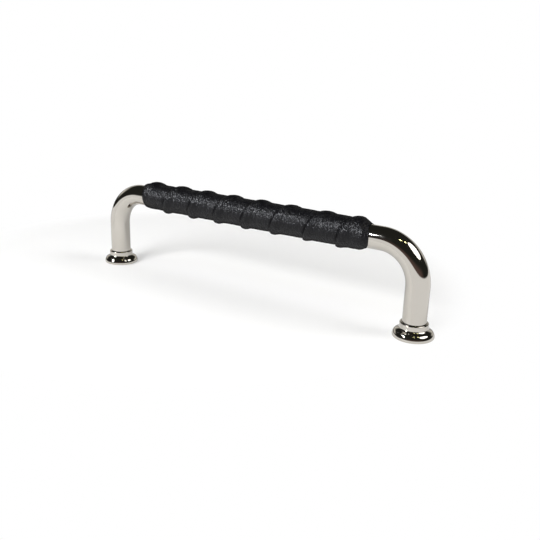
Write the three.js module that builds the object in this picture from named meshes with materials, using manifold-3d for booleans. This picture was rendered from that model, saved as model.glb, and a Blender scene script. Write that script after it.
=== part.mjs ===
// Bow handle: a round bar bent into a bow, standing on two turned feet, with one leather
// strip wound round the straight part as a grip.
// Millimetres. X runs along the handle, Y is across it, Z is up, and the feet stand on Z = 0.

import * as THREE from "three";
import { mergeVertices } from "three/addons/utils/BufferGeometryUtils.js";
import Module from "manifold-3d";

const manifold = await Module();
manifold.setup();

// Driving dimensions of the bar
const holeSpacing = 128; // centre to centre of the two fixing holes
const rodDiameter = 7.6;
const gripHeight = 29.3; // from the mounting surface to the bar's centre line
const bendRadius = 13; // of the bar's centre line
const tapDrillDiameter = 3.3; // for an M4 thread
const threadDepth = 11;

// Driving dimensions of the feet
const footDiameter = 13.2; // at the widest point of the rim
const rimInset = 0.8; // how far the flat base lies inside the rim
const rimHeight = 0.75; // height of the widest point
const rimRound = 0.3; // how sharply the rim turns in above it
const shoulderWidth = 1.05; // from the widest point in to where the hollow starts
const shoulderRise = 1.7; // and up to there
const shoulderRound = 0.9; // how far the shoulder keeps the hollow's slope
const coveRise = 0.5; // from the shoulder to the corner of the hollow
const hollowRise = 0.35; // from the corner to the neck
const neckRise = 1.6; // from there to the top
const neckWall = 0.52; // round the bar's socket
const lipRound = 0.4; // the neck's rounded top
const socketFloor = 1.2; // under the bar's end
const screwHoleDiameter = 4.5; // clearance for an M4 screw

// Driving dimensions of the leather
const stripWall = 0.95; // one layer of leather
const turnPitch = 12.3; // distance between turns along the bar
const firstSeam = 4; // from the left end to the seam, along the top of the grip
const lapHeight = 0.6; // how far a turn's edge rises over the turn before it
const lapEdge = 0.2; // the strip's thin pared edge
const lapCrest = 1.3; // from the strip's edge to the highest point of the lap
const lapWidth = 4; // from the strip's edge to where the lap has run out
const leftBareRun = 2; // straight bar left bare before the left bend
const rightBareRun = 3;
const leftRound = 3; // the wound end's soft round
const rightTuck = 4.5; // length over which the last turn tapers into its tuck
const endWall = 0.3; // leather left at the very ends

// Clearance that the feet and the leather keep to the bar
const fitGap = 0.2;

// Facets
const rodSides = 32;
const bendSteps = 10;
const footSides = 36;
const footCurveSteps = 4;
const holeSides = 20;
const turnSides = 24;
const lapCurveSteps = 3;
const endCurveSteps = 4;

// Sizes that follow
const rodRadius = rodDiameter / 2;
const socketRadius = rodRadius + fitGap;
const rodEndHeight = socketFloor + fitGap;
const straightRun = holeSpacing - 2 * bendRadius;
const gripLeft = -straightRun / 2 + leftBareRun;
const gripRight = straightRun / 2 - rightBareRun;
const gripRadius = socketRadius + stripWall;

// Materials
const nickel = new THREE.MeshStandardMaterial({ color: 0xc4c0b8, roughness: 0.07, metalness: 1 });
const leather = new THREE.MeshStandardMaterial({ color: 0x2a2a2e, roughness: 0.5, metalness: 0 });

// The bar's centre line, from the left end up, across and down to the right end. Equal steps
// of t give one station per straight and bendSteps stations per bend.
class BowPath extends THREE.Curve {
  constructor() {
    super();
    const legTop = gripHeight - bendRadius;
    const halfSpan = holeSpacing / 2;
    const bendX = straightRun / 2;
    const points = [new THREE.Vector3(-halfSpan, 0, rodEndHeight)];
    for (let i = 0; i <= bendSteps; i += 1) {
      const angle = Math.PI - (i / bendSteps) * (Math.PI / 2);
      points.push(this.bendPoint(-bendX, legTop, angle));
    }
    for (let i = 0; i <= bendSteps; i += 1) {
      const angle = Math.PI / 2 - (i / bendSteps) * (Math.PI / 2);
      points.push(this.bendPoint(bendX, legTop, angle));
    }
    points.push(new THREE.Vector3(halfSpan, 0, rodEndHeight));
    this.stations = points;
  }

  bendPoint(x, z, angle) {
    return new THREE.Vector3(x + bendRadius * Math.cos(angle), 0, z + bendRadius * Math.sin(angle));
  }

  getPoint(t) {
    const last = this.stations.length - 1;
    const place = Math.min(Math.max(t, 0), 1) * last;
    const index = Math.min(Math.floor(place), last - 1);
    return this.stations[index].clone().lerp(this.stations[index + 1], place - index);
  }

  // Stations stay where they were set, instead of being spread evenly along the bar
  getPointAt(t) {
    return this.getPoint(t);
  }

  getTangentAt(t) {
    const last = this.stations.length - 1;
    const index = Math.round(t * last);
    const angle = this.turnAngle(index);
    return new THREE.Vector3(Math.sin(angle), 0, Math.cos(angle));
  }

  // How far the centre line has turned at a station: 0 is up, a quarter turn is along +X
  turnAngle(index) {
    const firstBend = Math.min(Math.max(index - 1, 0), bendSteps);
    const secondBend = Math.min(Math.max(index - 2 - bendSteps, 0), bendSteps);
    return ((firstBend + secondBend) / bendSteps) * (Math.PI / 2);
  }
}

// The line of the leather's seam: a left-handed helix round the X axis. The section that
// rides on it stays in the plane of the axis, its x pointing out and its y along the grip.
class SeamHelix extends THREE.Curve {
  constructor(start, turns) {
    super();
    this.start = start;
    this.turns = turns;
  }

  angleAt(t) {
    const turnsFromTop = (this.start - (gripLeft + firstSeam)) / turnPitch + this.turns * t;
    return Math.PI / 2 - 2 * Math.PI * turnsFromTop;
  }

  outward(t) {
    return new THREE.Vector3(0, Math.cos(this.angleAt(t)), Math.sin(this.angleAt(t)));
  }

  getPoint(t) {
    const point = this.outward(t).multiplyScalar(gripRadius);
    point.x = this.start + this.turns * turnPitch * t;
    return point;
  }

  getPointAt(t) {
    return this.getPoint(t);
  }

  computeFrenetFrames(segments) {
    const frames = { tangents: [], normals: [], binormals: [] };
    for (let i = 0; i <= segments; i += 1) {
      const normal = this.outward(i / segments);
      const alongGrip = new THREE.Vector3(1, 0, 0);
      frames.normals.push(normal);
      frames.binormals.push(alongGrip);
      frames.tangents.push(new THREE.Vector3().crossVectors(normal, alongGrip));
    }
    return frames;
  }
}

// A closed geometry as a solid that can be joined and cut
function toSolid(geometry) {
  const bare = geometry.index ? geometry.clone() : geometry;
  bare.deleteAttribute("normal");
  bare.deleteAttribute("uv");
  const merged = mergeVertices(bare, 1e-4);
  const mesh = new manifold.Mesh({
    numProp: 3,
    vertProperties: Float32Array.from(merged.attributes.position.array),
    triVerts: Uint32Array.from(merged.index.array),
  });
  return new manifold.Manifold(mesh);
}

function toGeometry(solid) {
  const mesh = solid.getMesh();
  const geometry = new THREE.BufferGeometry();
  geometry.setAttribute("position", new THREE.BufferAttribute(mesh.vertProperties, 3));
  geometry.setIndex(new THREE.BufferAttribute(mesh.triVerts, 1));
  geometry.computeVertexNormals();
  return geometry;
}

function circleShape(radius) {
  return new THREE.Shape().absarc(0, 0, radius, 0, 2 * Math.PI, false);
}

// The bent bar, with a blind hole for a screw thread in each end
function bentRod() {
  const bar = new THREE.ExtrudeGeometry(circleShape(rodRadius), {
    extrudePath: new BowPath(),
    steps: 2 * bendSteps + 3,
    curveSegments: rodSides / 2,
  });
  let solid = toSolid(bar);
  for (const side of [-1, 1]) {
    const below = rodEndHeight - socketFloor;
    const length = threadDepth + rodEndHeight - below;
    const drill = new THREE.CylinderGeometry(
      tapDrillDiameter / 2,
      tapDrillDiameter / 2,
      length,
      holeSides,
    );
    drill.rotateX(Math.PI / 2);
    drill.translate((side * holeSpacing) / 2, 0, below + length / 2);
    solid = solid.subtract(toSolid(drill));
  }
  return toGeometry(solid);
}

// One turned foot: a flanged collar with a socket for the bar's end and a screw hole
function footCollar() {
  const footRadius = footDiameter / 2;
  const screwRadius = screwHoleDiameter / 2;
  const neckRadius = socketRadius + neckWall;
  const flex = new THREE.Vector2(footRadius - shoulderWidth, rimHeight + shoulderRise);
  const cove = new THREE.Vector2(neckRadius, flex.y + coveRise);
  const slope = flex.clone().sub(cove).setLength(shoulderRound);
  const shoulder = flex.clone().add(slope);
  const neckHeight = cove.y + hollowRise;
  const top = neckHeight + neckRise;

  const outline = new THREE.Path();
  outline.moveTo(screwRadius, 0);
  outline.lineTo(footRadius - rimInset, 0);
  outline.quadraticCurveTo(footRadius, 0, footRadius, rimHeight);
  outline.bezierCurveTo(footRadius, rimHeight + rimRound, shoulder.x, shoulder.y, flex.x, flex.y);
  outline.quadraticCurveTo(cove.x, cove.y, neckRadius, neckHeight);
  outline.lineTo(neckRadius, top - lipRound);
  outline.quadraticCurveTo(neckRadius, top, neckRadius - lipRound, top);
  outline.lineTo(socketRadius, top);
  outline.lineTo(socketRadius, socketFloor);
  outline.lineTo(screwRadius, socketFloor);
  outline.lineTo(screwRadius, 0);

  const collar = new THREE.LatheGeometry(outline.getPoints(footCurveSteps), footSides);
  collar.rotateX(Math.PI / 2);
  return collar;
}

// The section of a lap: a thin edge, a crest where the strip lies on the turn before it,
// and a long slope down to the bar
function lapSection() {
  const root = -stripWall / 2;
  const section = new THREE.Shape();
  section.moveTo(root, 0);
  section.lineTo(root, lapWidth);
  section.lineTo(0, lapWidth);
  section.quadraticCurveTo(lapHeight, (lapCrest + lapWidth) / 2, lapHeight, lapCrest);
  section.quadraticCurveTo(lapHeight, 0, lapEdge, 0);
  section.lineTo(root, 0);
  return section;
}

// The outline that the wound leather fits in: round at the left end, tapered at the right
function gripEnvelope() {
  const crest = gripRadius + lapHeight;
  const edge = socketRadius + endWall;
  const outline = new THREE.Path();
  outline.moveTo(socketRadius, gripLeft);
  outline.lineTo(edge, gripLeft);
  outline.quadraticCurveTo(gripRadius, gripLeft, gripRadius, gripLeft + leftRound);
  outline.lineTo(crest + lapHeight, gripLeft + 2 * leftRound);
  outline.lineTo(crest + lapHeight, gripRight - 2 * rightTuck);
  outline.lineTo(crest, gripRight - rightTuck);
  outline.lineTo(edge, gripRight);
  outline.lineTo(socketRadius, gripRight);
  outline.lineTo(socketRadius, gripLeft);
  return alongX(new THREE.LatheGeometry(outline.getPoints(endCurveSteps), turnSides));
}

// A lathe's upright axis laid along X, with a vertex of its circle at the top
function alongX(geometry) {
  geometry.rotateZ(-Math.PI / 2);
  return geometry;
}

// The leather: one strip wound round the bar, each turn lapping over the one to its left
function leatherWrap() {
  const length = gripRight - gripLeft;
  const tube = new THREE.CylinderGeometry(gripRadius, gripRadius, length, turnSides);
  tube.translate(0, (gripLeft + gripRight) / 2, 0);
  const turns = Math.ceil((length + 2 * lapWidth) / turnPitch);
  const lap = new THREE.ExtrudeGeometry(lapSection(), {
    extrudePath: new SeamHelix(gripLeft - lapWidth, turns),
    steps: turns * turnSides,
    curveSegments: lapCurveSteps,
  });
  const wound = toSolid(alongX(tube)).add(toSolid(lap));
  return toGeometry(wound.intersect(toSolid(gripEnvelope())));
}

function namedMesh(name, geometry, material) {
  const mesh = new THREE.Mesh(geometry, material);
  mesh.name = name;
  return mesh;
}

const handle = new THREE.Group();
handle.add(namedMesh("bow_rod", bentRod(), nickel));

const collar = footCollar();
for (const [name, side] of [["left_foot_collar", -1], ["right_foot_collar", 1]]) {
  const foot = namedMesh(name, collar, nickel);
  foot.position.x = (side * holeSpacing) / 2;
  handle.add(foot);
}

const grip = namedMesh("leather_wrap", leatherWrap(), leather);
grip.position.z = gripHeight;
handle.add(grip);

export default handle;
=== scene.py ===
"""Looks of a bow handle: a polished nickel bar on two turned feet, with black leather wound round it."""

import math

import bmesh
import bpy
import numpy as np
from mathutils import Matrix, Vector, noise


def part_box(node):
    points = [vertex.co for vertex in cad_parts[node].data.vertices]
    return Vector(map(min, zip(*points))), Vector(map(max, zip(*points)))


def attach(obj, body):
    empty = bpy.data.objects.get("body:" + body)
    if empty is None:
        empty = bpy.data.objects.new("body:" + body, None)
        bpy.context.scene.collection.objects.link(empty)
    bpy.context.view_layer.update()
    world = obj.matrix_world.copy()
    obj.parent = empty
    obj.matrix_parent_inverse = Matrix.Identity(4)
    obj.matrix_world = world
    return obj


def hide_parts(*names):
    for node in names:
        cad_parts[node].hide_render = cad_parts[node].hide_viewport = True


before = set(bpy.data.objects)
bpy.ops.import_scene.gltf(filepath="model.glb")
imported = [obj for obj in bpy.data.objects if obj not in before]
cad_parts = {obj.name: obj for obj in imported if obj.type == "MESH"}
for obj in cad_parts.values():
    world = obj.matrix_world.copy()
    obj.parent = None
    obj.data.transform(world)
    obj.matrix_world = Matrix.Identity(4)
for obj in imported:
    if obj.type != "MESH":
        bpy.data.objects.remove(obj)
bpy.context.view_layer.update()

MM = 0.001

# Camera: where the photograph was taken from, and its lens
IMAGE_SIDE = 540
FOCAL_PIXELS = 665.4
SENSOR = 36.0
CAMERA_PLACE = Vector((133.25, -184.76, 79.55)) * MM
CAMERA_YAW = math.radians(33.75)
CAMERA_PITCH = math.radians(17.19)
CAMERA_ROLL = math.radians(1.85)
CAMERA_CLIP = 0.005

# The bar, in millimetres
BEND_RADIUS = 13.0
BEND_STEPS = 72
ROD_SIDES = 128
TAP_RADIUS = 1.65
THREAD_DEPTH = 11.0
THREAD_PITCH = 0.7
THREAD_CREST = 0.3
THREAD_STEPS = 8
THREAD_SIDES = 40

# The feet, in millimetres
FIT_GAP = 0.05
RIM_INSET = 0.8
RIM_HEIGHT = 0.75
RIM_ROUND = 0.3
SHOULDER_WIDTH = 1.05
SHOULDER_RISE = 1.7
SHOULDER_ROUND = 0.9
COVE_RISE = 0.5
HOLLOW_RISE = 0.35
NECK_RISE = 1.6
NECK_RADIUS = 4.52
LIP_ROUND = 0.4
SOCKET_FLOOR = 1.2
SCREW_RADIUS = 2.25
SCREW_CHAMFER = 0.25
FOOT_SIDES = 160
CURVE_STEPS = 14

# The leather's windings, in millimetres and in turns. Pairs go from the left end to the right end
GRIP_RADII = (4.9, 5.05)
GRIP_LIFTS = (0.35, 0.15)
BORE_RADIUS = 3.83
TURN_PITCH = 12.3
FIRST_SEAM = 4.0
TURN_DRIFT = (0.0, 0.6, 0.35, -0.15, -0.2, -0.45, 0.75, 0.1, 0.0)
WHOLE_TURNS = range(-2, 10)
EDGE_STEP = 0.55
EDGE_FROM_TURN = 0.3
EDGE_FADE = 0.4
LAP_CREST = 1.35
LAP_WIDTH = 4.2
LAP_HEIGHTS = (0.72, 0.68, 0.64, 0.62, 0.6, 0.54, 0.5, 0.5, 0.45)
STRIP_SAG = 0.12
SEAM_DIP = 0.26
SEAM_DIP_WIDTH = 0.9
DIP_BEFORE_TURN = 0.7

# The leather's ends, in millimetres
LEFT_INSET = 0.1
LEFT_SLANT = (1.8, 0.6)
LEFT_ROUND = (4.5, 0.7)
LEFT_END_RADIUS = 3.9
LEFT_END_LENGTH = 5.1
RIGHT_INSET = 0.3
RIGHT_SLANT = (0.4, 0.75, 1.1)
UNDERCUT_POWER = 6
RIGHT_CONE = (0.55, 0.05)
RIGHT_EDGE_RUN = 0.15
RIGHT_END_RADIUS = 4.05
RIGHT_END_LENGTH = 5.0
CORNER_SOFTNESS = 0.5
CORNER_CRISPNESS = 0.4
CORNER_LEAN = 0.3
LIFT_RUN = 3.0

# The leather's surface: heights and lengths in millimetres, scales per millimetre
SWELL_HEIGHT = 0.05
SWELL_SCALE = 0.35
RIPPLE_HEIGHT = 0.045
RIPPLE_ALONG, RIPPLE_SLANT, RIPPLE_AROUND = 1.25, 0.25, 0.5
RIPPLE_SHIFT = Vector((9, 4, 2))
PEBBLE_HEIGHT = 0.03
PEBBLE_SIZE = 0.8
PEBBLE_EDGE = 0.45
GRAIN_RADIUS = 5.0
# Painted shade in the seams: its depth underneath and on top, its width, shift and reach
SEAM_PAINTED_SHADE_DEPTHS = (0.35, 1.0)
SEAM_SHADE_WIDTH = 0.62
SEAM_SHADE_SHIFT = -0.2
SEAM_SHADE_REACH = 0.6
# Painted shade on the leather's rounded left end: its width and depth
LEFT_END_PAINTED_SHADE_WIDTH = 1.3
LEFT_END_PAINTED_SHADE = 0.85

# The leather's mesh: columns across the strip, steps along it, and lengths in millimetres
SHEET_START = -1
SHEET_TURNS = 10
STEPS_PER_TURN = 208
EDGE_COLUMNS = (-0.02, 0.001)
LAP_COLUMNS = 22
LAP_GATHERING = 1.25
STRIP_COLUMNS = 23
END_COLUMNS = 26
END_GATHERING = 1.5
CUT_SNAP = 1e-5
CUT_SLACK = 1e-4
CUT_MERGE = 0.004

# Materials: colours are linear, and scales of noise and cells are per metre
WHITE = (1, 1, 1)
BLACK = (0, 0, 0)
NICKEL_TINTS = ((0.565, 0.535, 0.485), (0.6, 0.57, 0.525))
NICKEL_ROUGHNESS = (0.035, 0.075)
LEATHER_TINTS = ((0.0035, 0.0035, 0.0047), (0.0085, 0.0085, 0.0105))
# Painted shade: the darker colour in the creases between pebbles
CREASE_PAINTED_SHADE_COLOUR = (0.003, 0.003, 0.0038)
# Painted shade: the dark colour of the seams and of the leather's left end
SEAM_PAINTED_SHADE_COLOUR = (0.002, 0.002, 0.002)
# Dark matt colour of the leather at grazing angles, and painted shade in the seams and at the left end
NAP_AND_SEAM_PAINTED_SHADE_COLOUR = (0.0058, 0.0058, 0.007)
LEATHER_ROUGHNESS = (0.25, 0.35)
SEAM_ROUGHNESS = 0.22
PEBBLE_SCALE, PEBBLE_AROUND, PEBBLE_SHARE = 1000.0, 0.5, 0.6
SPECK_SCALE, SPECK_AROUND, SPECK_SHARE = 2400.0, 0.7, 0.3
CELL_EDGE = 0.28
CLOUD_RANGE = (0.3, 0.7)
MATT_FACING = (0.3, 0.85)
MATT_SHARE = 0.92

# The floor: its corners in millimetres, and the places of its fade and its dimmer part in metres
FLOOR_LEFT, FLOOR_RIGHT, FLOOR_DEPTH = -420.0, 3000.0, 3000.0
FLOOR_COLOUR = (0.7, 0.7, 0.7)
FLOOR_GLOW = 0.222
FADE_CENTRE = (-0.036, 0.015, 0.0)
FADE_START, FADE_END = 0.086, 0.11
# Painted shade on the floor, seen only in reflections: how much dimmer behind the handle, and where
DIM_BEHIND = 0.36
DIM_DEPTHS = (-0.015, 0.03)
DIM_SIDES = (0.09, 0.07)

# The mirrored studio: ranges are of a direction's height, of its X, or of how near it is to another
HORIZON = (0.0, 0.05)
FLOOR_EDGE = (-0.5, -0.8)
SCREEN_DIRECTION = (-0.5, 0.866, 0.0)
SCREEN_SPREAD = (0.35, 0.6)
SCREEN_TOP = (0.5, 0.2)
SCREEN_FOOT = (0.05, 0.2)
SCREEN_COLOUR = (0.8, 0.78, 0.72)
WARM_DIRECTION = (0.454, -0.891, 0.0)
WARM_SPREAD = (0.5, 0.95)
WARM_TOP = (0.4, 0.12)
WARM_SHARE = 0.9
WARM_COLOUR = (0.13, 0.085, 0.075)
ROOM_COLOUR = (0.021, 0.021, 0.018)
FILL_COLOUR = (0.18, 0.18, 0.185)

# Lamps, in metres
LAMP_TARGET = Vector((0, 0, 0.02))
LAMP_DISTANCE = 0.8
DAYLIGHT = (1, 0.985, 0.96)
BLUISH = (0.93, 0.96, 1)
PALE_BLUE = (0.93, 0.95, 1)
YELLOW = (1, 0.98, 0.5)

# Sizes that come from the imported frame
frame_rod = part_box("bow_rod")
frame_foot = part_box("right_foot_collar")
frame_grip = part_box("leather_wrap")
ROD_RADIUS = (frame_rod[1][1] - frame_rod[0][1]) / 2 / MM
HALF_SPAN = frame_rod[1][0] / MM - ROD_RADIUS
GRIP_HEIGHT = frame_rod[1][2] / MM - ROD_RADIUS
ROD_END = frame_rod[0][2] / MM
FOOT_RADIUS = (frame_foot[1][1] - frame_foot[0][1]) / 2 / MM
GRIP_LEFT = frame_grip[0][0] / MM
GRIP_RIGHT = frame_grip[1][0] / MM


# Camera
def make_camera():
    sin_yaw, cos_yaw = math.sin(CAMERA_YAW), math.cos(CAMERA_YAW)
    sin_pitch, cos_pitch = math.sin(CAMERA_PITCH), math.cos(CAMERA_PITCH)
    forward = Vector((-sin_yaw * cos_pitch, cos_yaw * cos_pitch, -sin_pitch))
    level_right = Vector((cos_yaw, sin_yaw, 0))
    level_up = level_right.cross(forward)
    right = math.cos(CAMERA_ROLL) * level_right + math.sin(CAMERA_ROLL) * level_up
    up = math.cos(CAMERA_ROLL) * level_up - math.sin(CAMERA_ROLL) * level_right
    data = bpy.data.cameras.new("camera")
    data.sensor_width = SENSOR
    data.lens = FOCAL_PIXELS * SENSOR / IMAGE_SIDE
    data.clip_start = CAMERA_CLIP
    camera = bpy.data.objects.new("camera", data)
    turn = Matrix((right, up, -forward)).transposed()
    camera.matrix_world = Matrix.Translation(CAMERA_PLACE) @ turn.to_4x4()
    bpy.context.collection.objects.link(camera)
    bpy.context.scene.camera = camera


# Mesh helpers
def new_object(name, vertices, faces, sharp_angle=None):
    """A smoothly shaded object from vertices in millimetres. Edges stay sharp past an angle that is
    given in degrees."""
    mesh = bpy.data.meshes.new(name)
    mesh.from_pydata([tuple(v * MM for v in vertex) for vertex in vertices], [], faces)
    mesh.polygons.foreach_set("use_smooth", [True] * len(mesh.polygons))
    if sharp_angle:
        mesh.set_sharp_from_angle(angle=math.radians(sharp_angle))
    mesh.update()
    piece = bpy.data.objects.new(name, mesh)
    bpy.context.collection.objects.link(piece)
    return piece


def ring_faces(rings, sides):
    """Quads between neighbouring rings of a tube, each ring holding the given number of vertices."""
    faces = []
    for ring in range(rings - 1):
        for side in range(sides):
            after = (side + 1) % sides
            low, high = ring * sides, (ring + 1) * sides
            faces.append((low + side, low + after, high + after, high + side))
    return faces


def bezier(*controls):
    """Points of a curve after its start, for any number of control points."""
    points = []
    for step in range(1, CURVE_STEPS + 1):
        t = step / CURVE_STEPS
        row = [np.array(control) for control in controls]
        while len(row) > 1:
            row = [(1 - t) * a + t * b for a, b in zip(row, row[1:])]
        points.append(tuple(row[0]))
    return points


# The bar
def bow_stations():
    """Centre line points with how far the line has turned: 0 is up, a quarter turn is along +X."""
    leg_top = GRIP_HEIGHT - BEND_RADIUS
    bend_x = HALF_SPAN - BEND_RADIUS
    stations = [((-HALF_SPAN, ROD_END), 0.0)]
    for bend, centre in enumerate((-bend_x, bend_x)):
        for step in range(BEND_STEPS + 1):
            turned = (bend + step / BEND_STEPS) * math.pi / 2
            x = centre - BEND_RADIUS * math.cos(turned)
            stations.append(((x, leg_top + BEND_RADIUS * math.sin(turned)), turned))
    stations.append(((HALF_SPAN, ROD_END), math.pi))
    return stations


def make_rod():
    vertices = []
    stations = bow_stations()
    for (x, z), turned in stations:
        for side in range(ROD_SIDES):
            angle = side / ROD_SIDES * 2 * math.pi
            out = ROD_RADIUS * math.cos(angle)
            vertices.append((
                x - out * math.cos(turned),
                -ROD_RADIUS * math.sin(angle),
                z + out * math.sin(turned),
            ))
    faces = ring_faces(len(stations), ROD_SIDES)
    for end, sign in ((0, -1), (len(stations) - 1, 1)):
        add_threaded_end(vertices, faces, end * ROD_SIDES, sign)
    return new_object("polished_bar", vertices, faces, sharp_angle=35)


def add_threaded_end(vertices, faces, rim, sign):
    """The bar's flat end and the threaded blind hole in it, with a pointed tip as a drill leaves."""
    centre = sign * HALF_SPAN
    rings = round(THREAD_DEPTH / THREAD_PITCH * THREAD_STEPS)
    start = len(vertices)
    for ring in range(rings + 1):
        height = ring / THREAD_STEPS * THREAD_PITCH
        depth = min(ring / THREAD_STEPS, 1.0, (rings - ring) / THREAD_STEPS)
        for side in range(THREAD_SIDES):
            turn = side / THREAD_SIDES
            phase = (ring / THREAD_STEPS - turn) % 1.0
            radius = TAP_RADIUS + THREAD_CREST * depth * abs(1 - 2 * phase)
            angle = turn * 2 * math.pi
            vertices.append((
                centre + radius * math.cos(angle),
                radius * math.sin(angle),
                ROD_END + height,
            ))
    tip = len(vertices)
    vertices.append((centre, 0, ROD_END + THREAD_DEPTH + TAP_RADIUS / 2))
    for ring in range(rings):
        for side in range(THREAD_SIDES):
            after = (side + 1) % THREAD_SIDES
            low = start + ring * THREAD_SIDES
            high = low + THREAD_SIDES
            faces.append((low + after, low + side, high + side, high + after))
    top = start + rings * THREAD_SIDES
    for side in range(THREAD_SIDES):
        faces.append((top + (side + 1) % THREAD_SIDES, top + side, tip))
    outer = [rim + side for side in range(ROD_SIDES)]
    inner = [start + side for side in range(THREAD_SIDES)]
    add_flat_ring(vertices, faces, outer, inner, centre)


def add_flat_ring(vertices, faces, outer, inner, centre):
    """Flat faces between two rings of different counts round one centre, facing down."""
    def angle_of(index):
        x, y, _ = vertices[index]
        return math.atan2(y, x - centre) % (2 * math.pi)

    outer = sorted(outer, key=angle_of)
    inner = sorted(inner, key=angle_of)
    i = j = 0
    while i < len(outer) or j < len(inner):
        next_out = angle_of(outer[(i + 1) % len(outer)]) + 2 * math.pi * ((i + 1) // len(outer))
        next_in = angle_of(inner[(j + 1) % len(inner)]) + 2 * math.pi * ((j + 1) // len(inner))
        a, b = outer[i % len(outer)], inner[j % len(inner)]
        if j >= len(inner) or (i < len(outer) and next_out <= next_in):
            faces.append((a, b, outer[(i + 1) % len(outer)]))
            i += 1
        else:
            faces.append((a, b, inner[(j + 1) % len(inner)]))
            j += 1


# The feet
def foot_profile():
    """Radius and height round a foot, from its base outwards and over the lip into the socket."""
    rim = np.array((FOOT_RADIUS, RIM_HEIGHT))
    flex = np.array((FOOT_RADIUS - SHOULDER_WIDTH, RIM_HEIGHT + SHOULDER_RISE))
    cove = np.array((NECK_RADIUS, flex[1] + COVE_RISE))
    slope = (flex - cove) / np.linalg.norm(flex - cove)
    neck = (NECK_RADIUS, cove[1] + HOLLOW_RISE)
    top = neck[1] + NECK_RISE
    socket = ROD_RADIUS + FIT_GAP
    base = (FOOT_RADIUS - RIM_INSET, 0.0)
    lip = (NECK_RADIUS, top - LIP_ROUND)
    points = [(SCREW_RADIUS, SCREW_CHAMFER), (SCREW_RADIUS + SCREW_CHAMFER, 0.0), base]
    points += bezier(base, (FOOT_RADIUS, 0.0), rim)
    points += bezier(rim, rim + (0, RIM_ROUND), flex + SHOULDER_ROUND * slope, flex)
    points += bezier(flex, cove, neck)
    points += [lip] + bezier(lip, (NECK_RADIUS, top), (NECK_RADIUS - LIP_ROUND, top))
    points += [(socket, top), (socket, SOCKET_FLOOR), (SCREW_RADIUS, SOCKET_FLOOR)]
    return points


def make_foot(name, centre):
    profile = foot_profile()
    vertices = []
    for radius, height in profile:
        for side in range(FOOT_SIDES):
            angle = side / FOOT_SIDES * 2 * math.pi
            vertices.append((
                centre + radius * math.cos(angle),
                radius * math.sin(angle),
                height,
            ))
    faces = ring_faces(len(profile), FOOT_SIDES)
    last = (len(profile) - 1) * FOOT_SIDES
    for side in range(FOOT_SIDES):
        after = (side + 1) % FOOT_SIDES
        faces.append((last + side, last + after, after, side))
    return new_object(name, vertices, faces, sharp_angle=30)


# The leather
def smooth(t):
    """Eases from 0 to 1 as t does, and stays there outside."""
    t = np.clip(t, 0.0, 1.0)
    return t * t * (3 - 2 * t)


def per_turn(values, turn):
    """A value given for each turn, blended smoothly between turns. It stops just short of the last
    one, so that there is always a next one to blend with."""
    place = np.clip(turn, 0, len(values) - 1.001)
    index = np.floor(place).astype(int)
    table = np.array(values)
    return table[index] + (table[index + 1] - table[index]) * smooth(place - index)


def along(values, x):
    """A value that changes evenly from the leather's left end to its right end."""
    share = np.clip((x - GRIP_LEFT) / (GRIP_RIGHT - GRIP_LEFT), 0, 1)
    return values[0] + (values[1] - values[0]) * share


def seam_x(turn):
    """Where the strip's edge lies along the bar, turn counting up by one for each turn."""
    return GRIP_LEFT + FIRST_SEAM + TURN_PITCH * turn + per_turn(TURN_DRIFT, turn)


def turn_at(angle):
    """The turn, less whole turns, at which the left-handed helix passes an angle: 0 is the top."""
    return (math.pi / 2 - angle) / (2 * math.pi)


def edge_share(turn):
    """How much of the strip's edge shows: its start is tucked in."""
    return smooth((turn - EDGE_FROM_TURN) / EDGE_FADE)


def layer_radius(x, angle):
    """The wound strip's outer radius. From its edge the strip rises over the layer below to a crest,
    comes down to the bar, and sags and dips towards the next edge."""
    radius = along(GRIP_RADII, x)
    part = turn_at(angle)
    result = radius
    for whole in WHOLE_TURNS:
        turn = part + whole
        edge = seam_x(turn)
        across = x - edge
        width = seam_x(turn + 1) - edge
        step = EDGE_STEP * edge_share(turn)
        rise = np.clip(across / LAP_CREST, 0, 1)
        up = step + (1 - step) * np.sqrt(1 - (1 - rise) ** 2)
        down = 0.5 + 0.5 * np.cos(np.pi * np.clip((across - LAP_CREST) / (LAP_WIDTH - LAP_CREST), 0, 1))
        lap = np.where(across < LAP_CREST, up, down) * per_turn(LAP_HEIGHTS, turn)
        sag = STRIP_SAG * np.clip((across - LAP_WIDTH) / (width - LAP_WIDTH), 0, 1)
        dip = SEAM_DIP * smooth((across - width + SEAM_DIP_WIDTH) / SEAM_DIP_WIDTH)
        dip = dip * smooth(turn + DIP_BEFORE_TURN)
        result = np.where(across >= 0, radius + lap - sag - dip, result)
    return result


def left_end(angle):
    """The leather's left end, which lies askew."""
    back, top = LEFT_SLANT
    return GRIP_LEFT + LEFT_INSET - back * np.cos(angle) - top * np.sin(angle)


def right_end(angle):
    """The leather's right end, longest at the front and cut back underneath."""
    back, top_and_bottom, under = RIGHT_SLANT
    slant = back * np.cos(angle) + top_and_bottom * np.sin(angle) ** 2
    undercut = under * np.maximum(-np.sin(angle), 0) ** UNDERCUT_POWER
    return GRIP_RIGHT - RIGHT_INSET - slant - undercut


def softer_min(a, b, softness):
    """The smaller of two values, rounded where they meet."""
    share = np.clip(0.5 + 0.5 * (b - a) / softness, 0, 1)
    return b * (1 - share) + a * share - softness * share * (1 - share)


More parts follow.
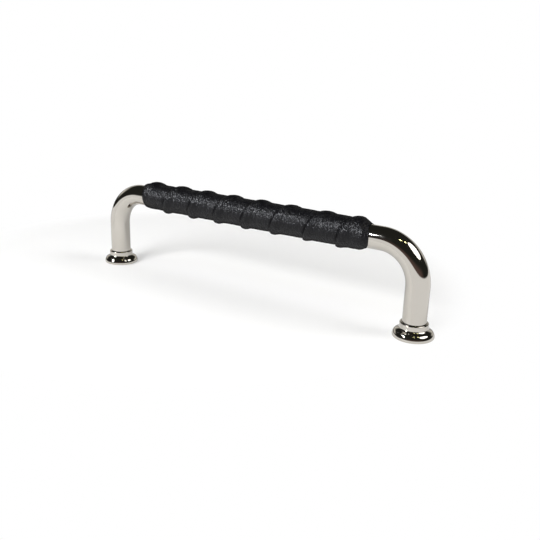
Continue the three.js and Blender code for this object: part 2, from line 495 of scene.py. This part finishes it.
def shape_ends(radius, x, angle):
    """Rounds the leather's left end, and draws its right end down to the bar in a cone with a crisp
    upper corner. Gives the radius and how much of its lift the leather keeps."""
    left_round = LEFT_ROUND[0] + LEFT_ROUND[1] * np.sin(angle)
    left_run = np.clip((x - left_end(angle)) / left_round, 0, 1)
    left = np.sqrt(1 - (1 - left_run) ** 2)
    run = np.maximum(right_end(angle) - x - RIGHT_EDGE_RUN, 0)
    upper = smooth(0.5 + np.sin(angle) - CORNER_LEAN * np.cos(angle))
    cone = RIGHT_END_RADIUS + (RIGHT_CONE[0] - RIGHT_CONE[1] * np.sin(angle)) * run
    radius = softer_min(radius, cone, CORNER_SOFTNESS - CORNER_CRISPNESS * upper)
    radius = LEFT_END_RADIUS + (radius - LEFT_END_RADIUS) * left
    return radius, left * np.clip(run / LIFT_RUN, 0, 1)


def grain(x, angle):
    """The leather's swells, ripples and pebbles at each place, as heights."""
    heights = np.zeros_like(x)
    flat_x, flat_angle, out = x.ravel(), angle.ravel(), heights.ravel()
    for i in range(len(flat_x)):
        y, z = GRAIN_RADIUS * math.cos(flat_angle[i]), GRAIN_RADIUS * math.sin(flat_angle[i])
        place = Vector((flat_x[i], y, z))
        drawn = Vector((place.x * RIPPLE_ALONG + y * RIPPLE_SLANT, y * RIPPLE_AROUND, z * RIPPLE_AROUND))
        swell = noise.noise(place * SWELL_SCALE)
        ripple = noise.noise(drawn + RIPPLE_SHIFT)
        out[i] = SWELL_HEIGHT * swell + RIPPLE_HEIGHT * ripple + PEBBLE_HEIGHT * pebble(place)
    return out.reshape(x.shape)


def pebble(place):
    """Rounded cells with creases between them, from 0 in a crease to 1 on a cell."""
    near = noise.voronoi(place / PEBBLE_SIZE)[0]
    return min((near[1] - near[0]) / PEBBLE_EDGE, 1.0)


def leather_points(x, angle):
    """Places on the leather's outer surface, in millimetres."""
    radius, lift_share = shape_ends(layer_radius(x, angle) + grain(x, angle), x, angle)
    lift = along(GRIP_LIFTS, x) * lift_share
    y = radius * np.cos(angle)
    z = radius * np.sin(angle) + lift + GRIP_HEIGHT
    return np.stack([x, y, z], axis=-1)


def painted_seam_shade(points):
    """Painted shade for the seams, from 0 to 1 by how near each place on the leather is to a seam:
    full on top and fainter underneath. It paints shade on the leather's rounded left end too."""
    x, y, z = points.T
    angle = np.arctan2(z - GRIP_HEIGHT - along(GRIP_LIFTS, x), y)
    part = turn_at(angle)
    faint, full = SEAM_PAINTED_SHADE_DEPTHS
    depth = faint + (full - faint) * smooth(SEAM_SHADE_REACH + np.sin(angle))
    shade = LEFT_END_PAINTED_SHADE * np.exp(-((x - left_end(angle)) / LEFT_END_PAINTED_SHADE_WIDTH) ** 2)
    for whole in WHOLE_TURNS:
        turn = part + whole
        across = (x - seam_x(turn) - SEAM_SHADE_SHIFT) / SEAM_SHADE_WIDTH
        shade = np.maximum(shade, depth * np.exp(-across ** 2) * edge_share(turn))
    return shade


def strip_columns():
    """Places across the strip from just before its edge to the next one, close set on the lap."""
    lap = [LAP_WIDTH * (step / LAP_COLUMNS) ** LAP_GATHERING for step in range(1, LAP_COLUMNS + 1)]
    rest = np.linspace(LAP_WIDTH, TURN_PITCH, STRIP_COLUMNS)[1:-1]
    return np.array([*EDGE_COLUMNS, *lap, *rest])


def helical_sheet():
    """A grid that follows the wound strip, reaching past both ends of the leather."""
    columns = strip_columns()
    count = len(columns)
    steps = SHEET_TURNS * STEPS_PER_TURN
    turn = np.arange(steps + 1) / STEPS_PER_TURN + SHEET_START
    angle = math.pi / 2 - 2 * math.pi * turn
    width = seam_x(turn + 1) - seam_x(turn)
    share = np.where(columns < LAP_WIDTH, 0, (columns - LAP_WIDTH) / (TURN_PITCH - LAP_WIDTH))
    x = seam_x(turn)[:, None] + columns[None, :] + (width - TURN_PITCH)[:, None] * share[None, :]
    points = leather_points(x, angle[:, None] + 0 * x).reshape(-1, 3)
    faces = []
    for i in range(steps):
        row, after = i * count, (i + 1) * count
        for j in range(count - 1):
            faces.append((row + j, row + j + 1, after + j + 1, after + j))
        far, far_after = row + STEPS_PER_TURN * count, after + STEPS_PER_TURN * count
        if far_after < len(points):
            faces.append((row + count - 1, far, far_after, after + count - 1))
    return points, faces


def cut_ring(sheet, cut, sign):
    """Cuts the sheet square to the bar and gives the cut's vertices in order round it."""
    def on_cut():
        return [vertex for vertex in sheet.verts if abs(vertex.co.x - cut) < CUT_SLACK]

    everything = sheet.verts[:] + sheet.edges[:] + sheet.faces[:]
    bmesh.ops.bisect_plane(sheet, geom=everything, dist=CUT_SNAP, plane_co=(cut, 0, 0),
                           plane_no=(sign, 0, 0), clear_outer=True)
    bmesh.ops.remove_doubles(sheet, verts=on_cut(), dist=CUT_MERGE)
    ring = on_cut()
    centre = GRIP_HEIGHT + float(along(GRIP_LIFTS, np.array(cut)))
    angles = [math.atan2(vertex.co.z - centre, vertex.co.y) for vertex in ring]
    order = sorted(range(len(ring)), key=lambda i: angles[i])
    return [ring[i] for i in order], np.array([angles[i] for i in order])


def add_ring(sheet, before, points, sign):
    """A new ring of vertices, joined to the ring before it. Gives the new ring."""
    ring = [sheet.verts.new(point) for point in points]
    for i, vertex in enumerate(ring):
        after = (i + 1) % len(ring)
        face = (before[i], before[after], ring[after], vertex)
        sheet.faces.new(face if sign < 0 else face[::-1])
    return ring


def finish_end(sheet, cut, sign):
    """Shapes the leather from a cut to its end, and turns its edge down to the bar."""
    ring, angles = cut_ring(sheet, cut, sign)
    end = left_end(angles) if sign < 0 else right_end(angles)
    for step in range(1, END_COLUMNS + 1):
        share = 1 - (1 - step / END_COLUMNS) ** END_GATHERING
        ring = add_ring(sheet, ring, leather_points(cut + (end - cut) * share, angles), sign)
    y, z = BORE_RADIUS * np.cos(angles), BORE_RADIUS * np.sin(angles) + GRIP_HEIGHT
    return add_ring(sheet, ring, np.stack([end, y, z], axis=-1), sign)


def join_bore(sheet, left, right):
    """The leather's inside against the bar, between the rings at its two ends."""
    i = j = 0
    while i < len(left) or j < len(right):
        a, b = left[i % len(left)], right[j % len(right)]
        if j >= len(right) or (i < len(left) and i * len(right) <= j * len(left)):
            i += 1
            sheet.faces.new((a, left[i % len(left)], b))
        else:
            j += 1
            sheet.faces.new((a, right[j % len(right)], b))


def make_leather():
    points, faces = helical_sheet()
    sheet = bmesh.new()
    vertices = [sheet.verts.new(point) for point in points]
    for face in faces:
        sheet.faces.new([vertices[i] for i in face])
    left = finish_end(sheet, GRIP_LEFT + LEFT_END_LENGTH, -1)
    right = finish_end(sheet, GRIP_RIGHT - RIGHT_END_LENGTH, 1)
    join_bore(sheet, left, right)
    sheet.verts.index_update()
    points = [vertex.co[:] for vertex in sheet.verts]
    faces = [[vertex.index for vertex in face.verts] for face in sheet.faces]
    sheet.free()
    grip = new_object("leather_grip", points, faces, sharp_angle=50)
    # The seam attribute carries painted shade for the seams and for the leather's left end
    shade = grip.data.attributes.new("seam", "FLOAT", "POINT")
    shade.data.foreach_set("value", painted_seam_shade(np.array(points)))
    return grip


# Materials
class Nodes:
    """Builds a node tree. Every method but add gives an output socket, ready for another node."""

    def __init__(self, tree):
        self.tree = tree
        self.tree.nodes.clear()

    def add(self, kind, inputs=None, **settings):
        node = self.tree.nodes.new(kind)
        for name, value in settings.items():
            setattr(node, name, value)
        for name, value in (inputs or {}).items():
            socket = node.inputs[name]
            if isinstance(value, bpy.types.NodeSocket):
                self.tree.links.new(value, socket)
            elif socket.type == "RGBA":
                socket.default_value = (*value, 1)
            else:
                socket.default_value = value
        return node

    def math(self, operation, *values):
        return self.add("ShaderNodeMath", dict(enumerate(values)), operation=operation).outputs["Value"]

    def vector_math(self, operation, first, second):
        node = self.add("ShaderNodeVectorMath", {0: first, 1: second}, operation=operation)
        return node.outputs["Value"]

    def ramp(self, value, start=0.0, end=1.0, low=0.0, high=1.0, kind="SMOOTHSTEP"):
        """Goes from low to high as the value goes from start to end."""
        return self.add("ShaderNodeMapRange", {
            "Value": value, "From Min": start, "From Max": end, "To Min": low, "To Max": high,
        }, interpolation_type=kind).outputs["Result"]

    def mix(self, share, first, second):
        inputs = {"Fac": share, "Color1": first, "Color2": second}
        return self.add("ShaderNodeMixRGB", inputs).outputs["Color"]

    def mix_shader(self, share, first, second):
        return self.add("ShaderNodeMixShader", {0: share, 1: first, 2: second}).outputs["Shader"]

    def diffuse(self, colour):
        return self.add("ShaderNodeBsdfDiffuse", {"Color": colour}).outputs["BSDF"]

    def noise(self, place, scale, detail, roughness=0.5):
        return self.add("ShaderNodeTexNoise", {
            "Vector": place, "Scale": scale, "Detail": detail, "Roughness": roughness,
        }).outputs["Fac"]

    def bump(self, height, strength, distance):
        return self.add("ShaderNodeBump", {
            "Height": height, "Strength": strength, "Distance": distance,
        }).outputs["Normal"]

    def principled(self, inputs):
        return self.add("ShaderNodeBsdfPrincipled", inputs).outputs["BSDF"]

    def place(self):
        return self.add("ShaderNodeTexCoord").outputs["Object"]


def new_material(name):
    material = bpy.data.materials.new(name)
    material.use_nodes = True
    return material, Nodes(material.node_tree)


def nickel_material():
    """Mirror nickel with a faint warm cloud in its colour, a slight haze and a barely uneven face."""
    material, nodes = new_material("polished_nickel")
    place = nodes.place()
    cloud = nodes.noise(place, scale=140.0, detail=3.0)
    haze = nodes.noise(place, scale=420.0, detail=4.0)
    wave = nodes.noise(place, scale=260.0, detail=2.0)
    shader = nodes.principled({
        "Base Color": nodes.mix(cloud, *NICKEL_TINTS),
        "Metallic": 1.0,
        "Roughness": nodes.ramp(haze, *CLOUD_RANGE, *NICKEL_ROUGHNESS, kind="LINEAR"),
        "Normal": nodes.bump(wave, strength=0.02, distance=0.0002),
    })
    nodes.add("ShaderNodeOutputMaterial", {"Surface": shader})
    return material


def leather_cells(nodes, place, scale, around):
    """Rounded cells with creases between them, drawn out round the bar."""
    drawn = nodes.add("ShaderNodeMapping", {"Vector": place, "Scale": (1.0, around, around)})
    cells = nodes.add("ShaderNodeTexVoronoi", {"Vector": drawn.outputs["Vector"], "Scale": scale},
                      feature="DISTANCE_TO_EDGE")
    return nodes.ramp(cells.outputs["Distance"], end=CELL_EDGE)


def leather_material():
    """Black pebbled leather with a satin face. It turns matt at grazing angles. In the seams and at its
    left end it turns to a dark matt colour, which is painted shade, and the creases between its pebbles are
    painted darker, which is painted shade too.
    """
    material, nodes = new_material("black_leather")
    place = nodes.place()
    # The seam attribute is painted shade: it darkens the seams and the left end and makes them matt
    seam = nodes.add("ShaderNodeAttribute", attribute_name="seam").outputs["Fac"]
    pebbles = leather_cells(nodes, place, PEBBLE_SCALE, PEBBLE_AROUND)
    specks = leather_cells(nodes, place, SPECK_SCALE, SPECK_AROUND)
    fine = nodes.noise(place, scale=2600.0, detail=4.0, roughness=0.6)
    cloud = nodes.noise(place, scale=240.0, detail=3.0)
    height = nodes.math("MULTIPLY_ADD", pebbles, PEBBLE_SHARE, fine)
    height = nodes.math("MULTIPLY_ADD", specks, SPECK_SHARE, height)
    # The leather's random tone, with painted shade darkening the creases between pebbles
    tint_and_crease_shade = nodes.mix(pebbles, CREASE_PAINTED_SHADE_COLOUR, nodes.mix(cloud, *LEATHER_TINTS))
    worn = nodes.ramp(fine, *CLOUD_RANGE, *LEATHER_ROUGHNESS, kind="LINEAR")
    satin = nodes.principled({
        "Base Color": nodes.mix(seam, tint_and_crease_shade, SEAM_PAINTED_SHADE_COLOUR),
        "Roughness": nodes.ramp(seam, low=worn, high=SEAM_ROUGHNESS, kind="LINEAR"),
        "Specular IOR Level": 0.22,
        "Normal": nodes.bump(height, strength=1.0, distance=0.00012),
    })
    facing = nodes.add("ShaderNodeLayerWeight", {"Blend": 0.5}).outputs["Facing"]
    # In the seams and at the left end the dark matt colour is painted shade; at grazing angles the leather
    # is matt
    matt = nodes.math("MAXIMUM", nodes.ramp(facing, *MATT_FACING, high=MATT_SHARE), seam)
    surface = nodes.mix_shader(matt, satin, nodes.diffuse(NAP_AND_SEAM_PAINTED_SHADE_COLOUR))
    nodes.add("ShaderNodeOutputMaterial", {"Surface": surface})
    return material


# Stage
def floor_material():
    """A matt pale floor whose own glow brings it to plain white to the eye and in reflections. Away
    from the handle the glow takes over, so that the floor is white to its edge. In reflections a
    painted shade makes it dimmer behind the handle, as far as the right foot."""
    material, nodes = new_material("pale_floor")
    path = nodes.add("ShaderNodeLightPath").outputs
    seen = nodes.math("MAXIMUM", path["Is Camera Ray"], path["Is Glossy Ray"])
    seen = nodes.math("MAXIMUM", seen, path["Is Transmission Ray"])
    place = nodes.place()
    far = nodes.ramp(nodes.vector_math("DISTANCE", place, FADE_CENTRE), FADE_START, FADE_END)
    glow = nodes.math("MULTIPLY", seen, nodes.ramp(far, low=FLOOR_GLOW, kind="LINEAR"))
    glowing = nodes.add("ShaderNodeEmission", {"Strength": glow}).outputs["Emission"]
    lit = nodes.diffuse(nodes.mix(far, FLOOR_COLOUR, BLACK))
    both = nodes.add("ShaderNodeAddShader", {0: lit, 1: glowing}).outputs["Shader"]
    parts = nodes.add("ShaderNodeSeparateXYZ", {"Vector": place}).outputs
    # Painted shade: in reflections the floor is dimmer behind the handle, as far as the right foot
    behind = nodes.ramp(parts["Y"], *DIM_DEPTHS, high=DIM_BEHIND)
    dim = nodes.math("MULTIPLY", behind, nodes.ramp(parts["X"], *DIM_SIDES))
    dim = nodes.math("MULTIPLY", dim, path["Is Glossy Ray"])
    surface = nodes.mix_shader(dim, both, nodes.diffuse(BLACK))
    nodes.add("ShaderNodeOutputMaterial", {"Surface": surface})
    return material


def make_floor():
    floor = new_object("floor", [
        (FLOOR_LEFT, -FLOOR_DEPTH, 0), (FLOOR_RIGHT, -FLOOR_DEPTH, 0),
        (FLOOR_RIGHT, FLOOR_DEPTH, 0), (FLOOR_LEFT, FLOOR_DEPTH, 0),
    ], [(0, 1, 2, 3)])
    floor.data.materials.append(floor_material())


def mirrored_studio(nodes):
    """The studio that the metal mirrors: dim above a white horizon, with a warm glow low in front
    and a pale screen behind the handle. Past the floor's edge on the left it is dim all the way down."""
    direction = nodes.add("ShaderNodeTexCoord").outputs["Generated"]
    parts = nodes.add("ShaderNodeSeparateXYZ", {"Vector": direction}).outputs
    behind = nodes.vector_math("DOT_PRODUCT", direction, SCREEN_DIRECTION)
    screen = nodes.math("MULTIPLY", nodes.ramp(behind, *SCREEN_SPREAD), nodes.ramp(parts["Z"], *SCREEN_TOP))
    screen = nodes.math("MULTIPLY", screen, nodes.ramp(parts["Z"], *SCREEN_FOOT))
    in_front = nodes.vector_math("DOT_PRODUCT", direction, WARM_DIRECTION)
    warm = nodes.ramp(in_front, *WARM_SPREAD, high=WARM_SHARE)
    warm = nodes.math("MULTIPLY", warm, nodes.ramp(parts["Z"], *WARM_TOP))
    room = nodes.mix(screen, nodes.mix(warm, ROOM_COLOUR, WARM_COLOUR), SCREEN_COLOUR)
    dim = nodes.math("MAXIMUM", nodes.ramp(parts["Z"], *HORIZON), nodes.ramp(parts["X"], *FLOOR_EDGE))
    return nodes.mix(dim, WHITE, room)


def make_world():
    """White where the camera sees it, the studio in reflections, and an even fill otherwise."""
    world = bpy.data.worlds.new("studio")
    bpy.context.scene.world = world
    world.use_nodes = True
    nodes = Nodes(world.node_tree)
    path = nodes.add("ShaderNodeLightPath").outputs
    unseen = nodes.mix(path["Is Glossy Ray"], FILL_COLOUR, mirrored_studio(nodes))
    shown = nodes.mix(path["Is Camera Ray"], unseen, WHITE)
    background = nodes.add("ShaderNodeBackground", {"Color": shown, "Strength": 1.0})
    nodes.add("ShaderNodeOutputWorld", {"Surface": background.outputs["Background"]})


def add_lamp(name, azimuth, elevation, size, power, colour, mirrored=True, lights_floor=True):
    """A soft box that faces the handle. Azimuth and elevation are in degrees, and azimuth 0 is the
    front and 90 the right. Size is in metres and power in watts. One that isn't mirrored doesn't show
    in the metal, and one that doesn't light the floor lights nothing matt."""
    turn, rise = math.radians(azimuth), math.radians(elevation)
    towards = Vector((math.sin(turn) * math.cos(rise), -math.cos(turn) * math.cos(rise), math.sin(rise)))
    data = bpy.data.lights.new(name, "AREA")
    data.shape = "ELLIPSE"
    data.size, data.size_y = size
    data.energy = power
    data.color = colour
    lamp = bpy.data.objects.new(name, data)
    lamp.location = LAMP_TARGET + towards * LAMP_DISTANCE
    lamp.rotation_euler = towards.to_track_quat("Z", "Y").to_euler()
    lamp.visible_glossy = mirrored
    lamp.visible_diffuse = lights_floor
    bpy.context.collection.objects.link(lamp)


def make_lamps():
    add_lamp("right_softbox", 103, 45, (0.62, 0.44), 2.3, DAYLIGHT, lights_floor=False)
    add_lamp("left_softbox", -49, 47, (0.16, 0.16), 0.5, BLUISH)
    add_lamp("small_lamp", -28, 31, (0.07, 0.05), 10.0, PALE_BLUE, lights_floor=False)
    add_lamp("left_ceiling_lamp", 45, 66, (0.09, 0.035), 0.1, YELLOW)
    add_lamp("right_ceiling_lamp", 80, 64, (0.06, 0.05), 0.08, YELLOW)
    add_lamp("front_light", -6, 27, (0.55, 0.42), 7.6, WHITE, mirrored=False)
    add_lamp("right_light", 110, 42, (0.42, 0.36), 2.7, DAYLIGHT, mirrored=False)
    add_lamp("top_light", 0, 89, (0.6, 0.5), 0.8, WHITE, mirrored=False)


make_camera()
nickel = nickel_material()
leather = leather_material()
rod = make_rod()
rod.data.materials.append(nickel)
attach(rod, "root")
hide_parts("bow_rod")
for foot_name, node, side in (
    ("left_turned_foot", "left_foot_collar", -1),
    ("right_turned_foot", "right_foot_collar", 1),
):
    foot = make_foot(foot_name, side * HALF_SPAN)
    foot.data.materials.append(nickel)
    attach(foot, "root")
    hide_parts(node)
grip = make_leather()
grip.data.materials.append(leather)
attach(grip, "root")
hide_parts("leather_wrap")

make_floor()
make_world()
make_lamps()
bpy.context.scene.view_settings.view_transform = "Standard"
